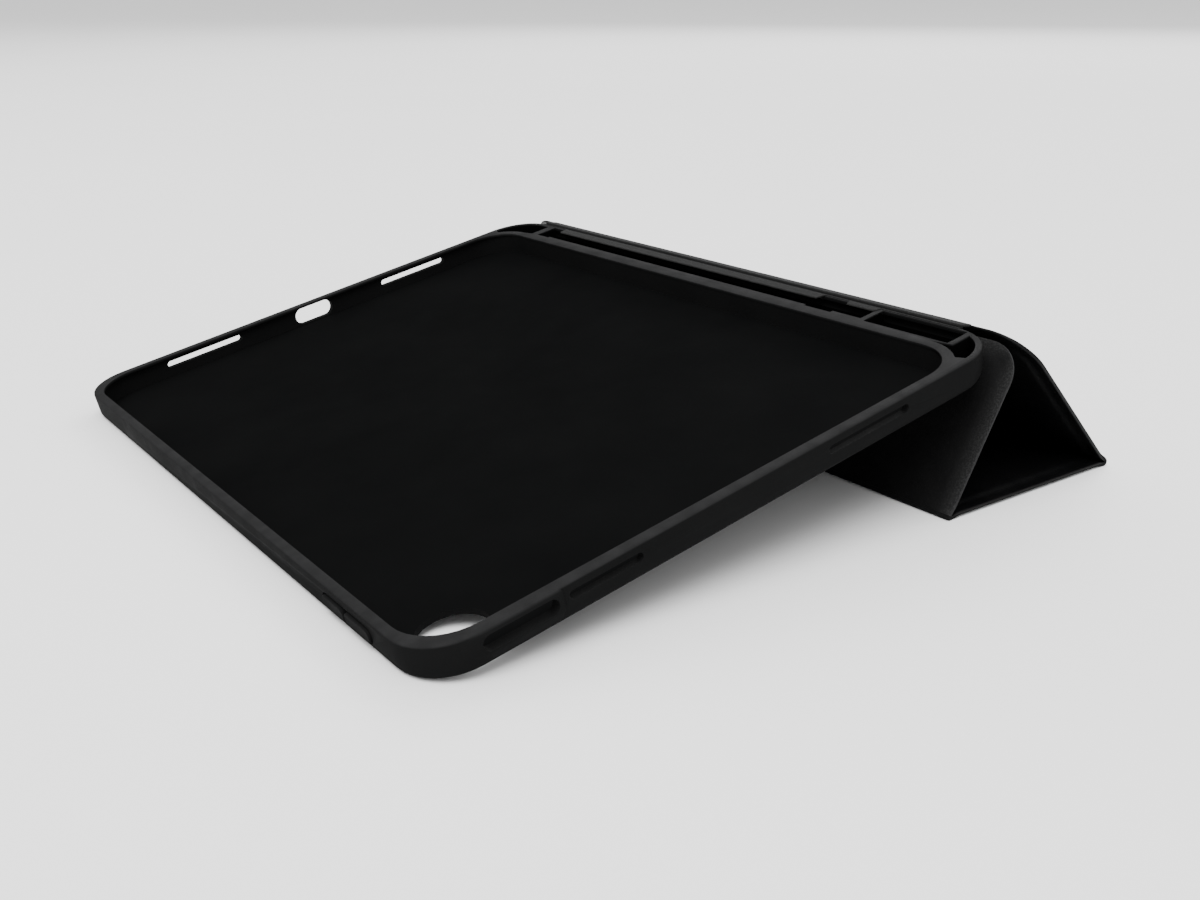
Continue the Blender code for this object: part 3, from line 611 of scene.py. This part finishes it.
def edge_drop(d, radius=EDGE_ROUNDING):
    """How far the surface falls towards a rounded edge."""
    if d >= radius:
        return 0.0
    return radius - math.sqrt(radius ** 2 - (radius - d) ** 2)


def distance_to_fold(y, panel):
    """How far along a panel its nearest tight fold is."""
    start, end = panel["pinched"]
    from_start = y - panel["span"][0] if start else NO_FOLD
    from_end = panel["span"][1] - y if end else NO_FOLD
    return min(from_start, from_end)


def crest_thinning(y, panel):
    """How much thinner the cloth is beside the crest, where it joins the strip."""
    if not panel["thin_start"]:
        return 0.0
    return (CLOTH - STRIP_HALF) * (1 - smoothstep(0.0, THINNED, y))


def make_sheet(name, panel, side):
    """One sheet of a panel: side 1 is the napped lining and -1 the coated skin."""
    bm = bmesh.new()
    outer_rows = []
    inner_rows = []
    for y in rows_along(panel):
        width = half_width(y, panel)
        outer = []
        inner = []
        for x in columns(width):
            d = corner_distance(x, y, panel)
            near_fold = min(y - panel["span"][0], panel["span"][1] - y)
            growth = smoothstep(*EVEN_BORDER, min(d, near_fold))
            wave = unevenness(x, y, panel["seed"] + side) * growth
            fold_distance = distance_to_fold(y, panel) if side > 0 else NO_FOLD
            half = border_half(d, fold_distance) - crest_thinning(y, panel)
            if side < 0:
                half = min(half, CLOTH) + max(half - CLOTH, 0.0) * fold_ramp(y, panel)
            inner_z = side * max(half - CLOTH, 0.0)
            if side > 0:
                inner_z *= smoothstep(0.3, 2.0, d)
            outer_z = side * (half + min(wave, panel["bulge"]) - edge_drop(d, panel["edge_radius"]))
            if side < 0:
                outer_z *= crease(y, panel)
            wander = EDGE_WANDER * noise.noise(Vector((x / 1.7, y / 1.7, panel["seed"])))
            shifted_x = x + math.copysign(wander * (1 - smoothstep(0.0, 0.9, d)), x)
            outer.append(bm.verts.new((shifted_x, y, outer_z)))
            inner.append(bm.verts.new((shifted_x, y, inner_z)))
        outer_rows.append(outer)
        inner_rows.append(inner)
    skin_grid(bm, outer_rows)
    skin_grid(bm, inner_rows)
    close_sheet(bm, outer_rows, inner_rows, 1, 1)
    bmesh.ops.remove_doubles(bm, verts=bm.verts, dist=JOINED)
    bmesh.ops.recalc_face_normals(bm, faces=bm.faces)
    face = panel["nap"] if side > 0 else SKIN
    edge = panel["edge"] or face
    piece = finish_mesh(name, bm, panel["frame"], (face, edge), CLOTH_SMOOTHING)
    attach(piece, panel["body"])
    return piece


def crease(y, panel):
    """The skin's depth is pinched in at each fold, so that the fold can close."""
    value = 1.0
    start, end = panel["pinched"]
    if start:
        value *= PINCHED + (1 - PINCHED) * smoothstep(0.0, PINCH_LENGTH, y - panel["span"][0])
    if end:
        value *= PINCHED + (1 - PINCHED) * smoothstep(0.0, PINCH_LENGTH, panel["span"][1] - y)
    return value


def round_axis(axis, x, angle, r):
    """A place at a distance r from an axis along X."""
    return (x, axis.y + r * math.cos(angle), axis.z + r * math.sin(angle))


def make_fold(name, joint, angle_a, angle_b, profile, half_long, node, materials):
    """The cloth that turns round a fold's axis, from one sheet's face to the next one's.

    angle_a points from the axis along the first sheet and angle_b along the second; the cloth
    fills the sector between their outward normals.  profile gives its radius by distance in from
    its ends.
    """
    first = angle_a - math.pi / 2
    last = angle_b + math.pi / 2
    while last > first:
        last -= 2 * math.pi
    steps = max(6, math.ceil(math.degrees(first - last) / FOLD_STEP))
    bm = bmesh.new()
    xs = columns(half_long)
    axis = AXES[joint]
    outer_rows = []
    inner_rows = []
    for i in range(steps + 1):
        angle = first + (last - first) * i / steps
        outer = []
        inner = []
        for x in xs:
            d = half_long - abs(x)
            uneven = 0.03 * noise.noise(Vector((x / 8.0, angle * 2.0, half_long)))
            r = profile(d) - edge_drop(d) + uneven * math.sin(math.pi * i / steps)
            outer.append(bm.verts.new(round_axis(axis, x, angle, r)))
            inner.append(bm.verts.new(round_axis(axis, x, angle, FOLD_CORE)))
        outer_rows.append(outer)
        inner_rows.append(inner)
    skin_grid(bm, outer_rows)
    skin_grid(bm, inner_rows)
    close_sheet(bm, outer_rows, inner_rows, 0, 1)
    bmesh.ops.recalc_face_normals(bm, faces=bm.faces)
    piece = finish_mesh(name, bm, Matrix.Identity(4), materials, CLOTH_SMOOTHING)
    reach = profile(0.0)
    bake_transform(piece)
    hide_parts(node)


def strip_half(_):
    """The crest strip is one thickness throughout."""
    return STRIP_HALF


# Places along a strip near its ends, as distances in from them, then the gap between the rest.
STRIP_COLUMNS = ((0.0, 0.1, 0.4, 1.2), 3.0)
LIP_COLUMNS = ((0.0, 0.15, 0.5, 1.0), 0.5)
STRIP_ROW_STEP = 0.45


def strip_columns(near_ends, step):
    """Places along a strip, close together at its two ends."""
    left = [d - STRIP_HALF_WIDTH for d in near_ends[:-1]]
    inner = spread(near_ends[-1] - STRIP_HALF_WIDTH, STRIP_HALF_WIDTH - near_ends[-1], step)
    return left + inner + [-x for x in reversed(left)]


def make_strip(name, to_world, y0, y1, body, node):
    """A flat strip of crest cloth with rounded ends."""
    bm = bmesh.new()
    xs = strip_columns(*STRIP_COLUMNS)
    tops = []
    bottoms = []
    for y in spread(y0, y1, STRIP_ROW_STEP):
        top = []
        bottom = []
        for x in xs:
            d = STRIP_HALF_WIDTH - abs(x)
            rise = 0.05 * noise.noise(Vector((x / 6.0, y / 2.0, 3.0)))
            inside = min(y - y0, y1 - y)
            rise *= smoothstep(0.0, 1.0, inside)
            top.append(bm.verts.new((x, y, STRIP_HALF - edge_drop(d) + rise)))
            bottom.append(bm.verts.new((x, y, -STRIP_HALF + edge_drop(d))))
        tops.append(top)
        bottoms.append(bottom)
    skin_grid(bm, tops)
    skin_grid(bm, bottoms)
    close_sheet(bm, tops, bottoms, 0, 1)
    bmesh.ops.recalc_face_normals(bm, faces=bm.faces)
    piece = finish_mesh(name, bm, to_world, (CREST_NAP, CUT_EDGE), CLOTH_SMOOTHING)
    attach(piece, body)
    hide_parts(node)


# The front edge of the cloth on the lip, kept behind the trough's mouth: (from this X on, its Y).
MOUTH_REAR = ((-STRIP_HALF_WIDTH, 103.9), (-93.2, 100.0), (55.4, 103.5), (66.9, 101.1),
              (79.3, 103.5))
LIP_CLOTH = 0.32                              # thickness over the lip
LIP_EDGE = 0.3                                # radius of its edges
GLUED_IN = 0.02                               # how far its underside lies below the lip's face
LIP_REAR = 104.45
LIP_GAP_DEPTH = 0.7                           # how far the cloth fills the gap behind the lip
LIP_ROWS = (0.0, 0.04, 0.1, 0.2, 0.4, 0.6, 0.8, 1.0)
HINGE_FRONT = 104.85
# When the cover is shut, the crest strip's underside is this high over the lip at this Y, and
# falls towards the hinge with this slope.
CLOSED_STRIP = {"rise": 0.15, "y": 103.98, "slope": 0.325}


def mouth_rear(x):
    """Where the cloth behind the trough's mouth starts, eased over a millimetre between steps."""
    edge = MOUTH_REAR[0][1]
    for start, y in MOUTH_REAR[1:]:
        edge += (y - edge) * smoothstep(start - 0.5, start + 0.5, x)
    return edge


def make_lip_cloth():
    """The crest cloth's end, glued flat to the lip behind the trough's mouth."""
    bm = bmesh.new()
    tops = []
    bottoms = []
    for x in strip_columns(*LIP_COLUMNS):
        front = mouth_rear(x) + 0.12 + 0.10 * noise.noise(Vector((x / 2.3, 0.0, 7.0)))
        from_side = STRIP_HALF_WIDTH - abs(x)
        top = []
        bottom = []
        reach = LIP_REAR - 0.01 - front
        for y in [front + reach * part for part in LIP_ROWS] + [LIP_REAR + 0.06, HINGE_FRONT]:
            uneven = 0.05 * noise.noise(Vector((x / 5.0, y / 2.0, 9.0)))
            uneven *= smoothstep(0.2, 0.8, y - front)
            rise = LIP_CLOTH - edge_drop(min(y - front, from_side), LIP_EDGE) + uneven
            under_strip = CLOSED_STRIP["rise"] + (CLOSED_STRIP["y"] - y) * CLOSED_STRIP["slope"]
            sunk = GLUED_IN if y < LIP_REAR else LIP_GAP_DEPTH
            top.append(bm.verts.new((x, y, LIP_TOP + min(rise, under_strip))))
            bottom.append(bm.verts.new((x, y, LIP_TOP - sunk)))
        tops.append(top)
        bottoms.append(bottom)
    skin_grid(bm, tops)
    skin_grid(bm, bottoms)
    close_sheet(bm, tops, bottoms, 0, 0)
    bmesh.ops.recalc_face_normals(bm, faces=bm.faces)
    piece = finish_mesh("rear_lip_cloth", bm, TRAY_FRAME, (CREST_NAP,), CLOTH_SMOOTHING)
    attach(piece, "tray")


def make_cover():
    """The three panels, the crest strip, the glued spine strip and the cloth of the folds."""
    panels = {
        "back": dict(
            body="back_panel", frame=panel_frame("crest_fold", BACK_ANGLE),
            span=(0.0, BACK_LENGTH - RELIEF),
            cut_start=0.0, cut_end=None, board=(6.3, BACK_LENGTH - 4.2), seed=11.0,
            thin_start=True, pinched=(False, True), corner=CREST_CORNER, edge=None,
            edge_radius=EDGE_ROUNDING,
            nap=NAP, bulge=0.2),
        "bottom": dict(
            body="bottom_panel", frame=panel_frame("back_fold", BOTTOM_ANGLE),
            span=(RELIEF, BOTTOM_LENGTH - RELIEF),
            cut_start=None, cut_end=None, board=(4.2, BOTTOM_LENGTH - 3.5), seed=23.0,
            thin_start=False, pinched=(True, True), corner=None, edge=None,
            edge_radius=EDGE_ROUNDING,
            nap=NAP, bulge=-0.02),
        "front": dict(
            body="front_panel", frame=panel_frame("front_fold", FRONT_ANGLE),
            span=(RELIEF, FRONT_LENGTH),
            cut_start=None, cut_end=FRONT_LENGTH, seed=37.0,
            board=(3.5, FRONT_LENGTH - HEM - BOARD_INSET),
            thin_start=False, pinched=(True, False), corner=FREE_CORNER, edge=CUT_EDGE,
            edge_radius=0.30,
            nap=NAP_WORN, bulge=0.2),
    }
    for name, panel in panels.items():
        lining = make_sheet(name + "_lining_sheet", panel, 1)
        skin = make_sheet(name + "_skin_sheet", panel, -1)
        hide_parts(name + "_panel_lining")
        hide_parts(name + "_panel_skin")
        if name == "front":
            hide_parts("free_edge_hem")

    strip_frame = panel_frame("cover_swing", STRIP_ANGLE)
    make_strip("crest_cloth", strip_frame, 0.0, STRIP_LENGTH, "crest", "crest_strip")
    spine_frame = panel_frame("cover_swing", SPINE_ANGLE)
    make_strip("spine_cloth", spine_frame, -SPINE_DEPTH, 0.0, "tray", "spine_flap")
    make_lip_cloth()
    make_fold("crest_hinge_cloth", "cover_swing", SPINE_ANGLE + math.pi, STRIP_ANGLE, strip_half,
              STRIP_HALF_WIDTH, "crest_hinge_roll", (CREST_NAP, CUT_EDGE))
    make_fold("crest_fold_cloth", "crest_fold", STRIP_ANGLE + math.pi, BACK_ANGLE, strip_half,
              STRIP_HALF_WIDTH, "crest_fold_roll", (CREST_NAP, CUT_EDGE))
    make_fold("back_fold_cloth", "back_fold", BACK_ANGLE + math.pi, BOTTOM_ANGLE, border_half,
              COVER_HALF_WIDTH, "back_fold_roll", (NAP, NAP))
    make_fold("front_fold_cloth", "front_fold", BOTTOM_ANGLE + math.pi, FRONT_ANGLE, border_half,
              COVER_HALF_WIDTH, "front_fold_roll", (NAP, NAP))


def finish_inner_parts():
    """Finishes for the hidden CAD solids: boards, plates and magnets."""
    for name, node in frame["nodes"].items():
        finish = None
        if name.endswith("_board"):
            finish = BOARD
        elif name.startswith("catch_plate"):
            finish = STEEL
        elif "magnet" in name:
            finish = NICKEL
        if finish is None:
            continue
        for slot in node.material_slots:
            slot.material = finish


# ---------------------------------------------------------------------------- the studio
FLOOR_HALF_WIDTH = 40.0                       # metres, like all places and sizes in this section
WORLD_STRENGTH = 1.15
CAMERA_PLACE = (0.34554, -0.23484, 0.14560)
CAMERA_SIGHT = (-0.76016, 0.55315, -0.34086)
CAMERA_ROLL = -0.21                           # degrees
CAMERA_SENSOR = 36.0                          # millimetres, as its lens
CAMERA_LENS = 38.54


def floor_material():
    """Matt off-white paper, very slightly uneven."""
    n = Nodes("studio_floor")
    place = n.node("ShaderNodeTexCoord").outputs["Object"]
    cloudy = n.node("ShaderNodeTexNoise", {"Vector": place, "Scale": 3.0, "Detail": 2.0})
    color = n.mix(cloudy.outputs["Fac"], (0.86, 0.86, 0.86), (0.89, 0.89, 0.89))
    return n.set(Base_Color=color, Roughness=0.85, Specular_IOR_Level=0.1)


def make_floor():
    """A pale plain floor, wide enough to reach the horizon."""
    bm = bmesh.new()
    bmesh.ops.create_grid(bm, x_segments=8, y_segments=8, size=FLOOR_HALF_WIDTH)
    mesh = bpy.data.meshes.new("studio_floor")
    bm.to_mesh(mesh)
    bm.free()
    mesh.materials.append(floor_material())
    floor = bpy.data.objects.new("studio_floor", mesh)
    bpy.context.scene.collection.objects.link(floor)


def area_light(name, place, target, size, power):
    """A rectangular softbox at a place in metres, turned to its target."""
    light = bpy.data.lights.new(name, "AREA")
    light.shape = "RECTANGLE"
    light.size, light.size_y = size
    light.energy = power
    lamp = bpy.data.objects.new(name, light)
    lamp.location = place
    lamp.rotation_euler = (Vector(target) - Vector(place)).to_track_quat("-Z", "Y").to_euler()
    bpy.context.scene.collection.objects.link(lamp)


def make_lights():
    """Even light from all round, a large softbox over the front and a weaker one behind."""
    world = bpy.data.worlds.new("studio")
    world.use_nodes = True
    background = world.node_tree.nodes["Background"]
    background.inputs["Color"].default_value = (1.0, 1.0, 1.0, 1.0)
    background.inputs["Strength"].default_value = WORLD_STRENGTH
    bpy.context.scene.world = world
    area_light("key_softbox", (0.9, -1.3, 3.2), (0, 0.3, 0), (3.0, 2.4), 210.0)
    area_light("rear_softbox", (-1.9, 2.8, 2.2), (0, 0, 0.02), (3.0, 1.8), 90.0)


def make_camera():
    """The camera at its place, turned along its line of sight with a slight roll."""
    data = bpy.data.cameras.new("camera")
    data.sensor_width = CAMERA_SENSOR
    data.lens = CAMERA_LENS
    data.clip_start = 0.01
    camera = bpy.data.objects.new("camera", data)
    roll = Matrix.Rotation(math.radians(CAMERA_ROLL), 4, "Z")
    turn = Vector(CAMERA_SIGHT).to_track_quat("-Z", "Y").to_matrix().to_4x4() @ roll
    camera.matrix_world = Matrix.Translation(CAMERA_PLACE) @ turn
    bpy.context.scene.collection.objects.link(camera)
    bpy.context.scene.camera = camera


make_camera()
make_tray()
for key in KEYS:
    make_key(*key)
make_cover()
finish_inner_parts()
make_floor()
make_lights()
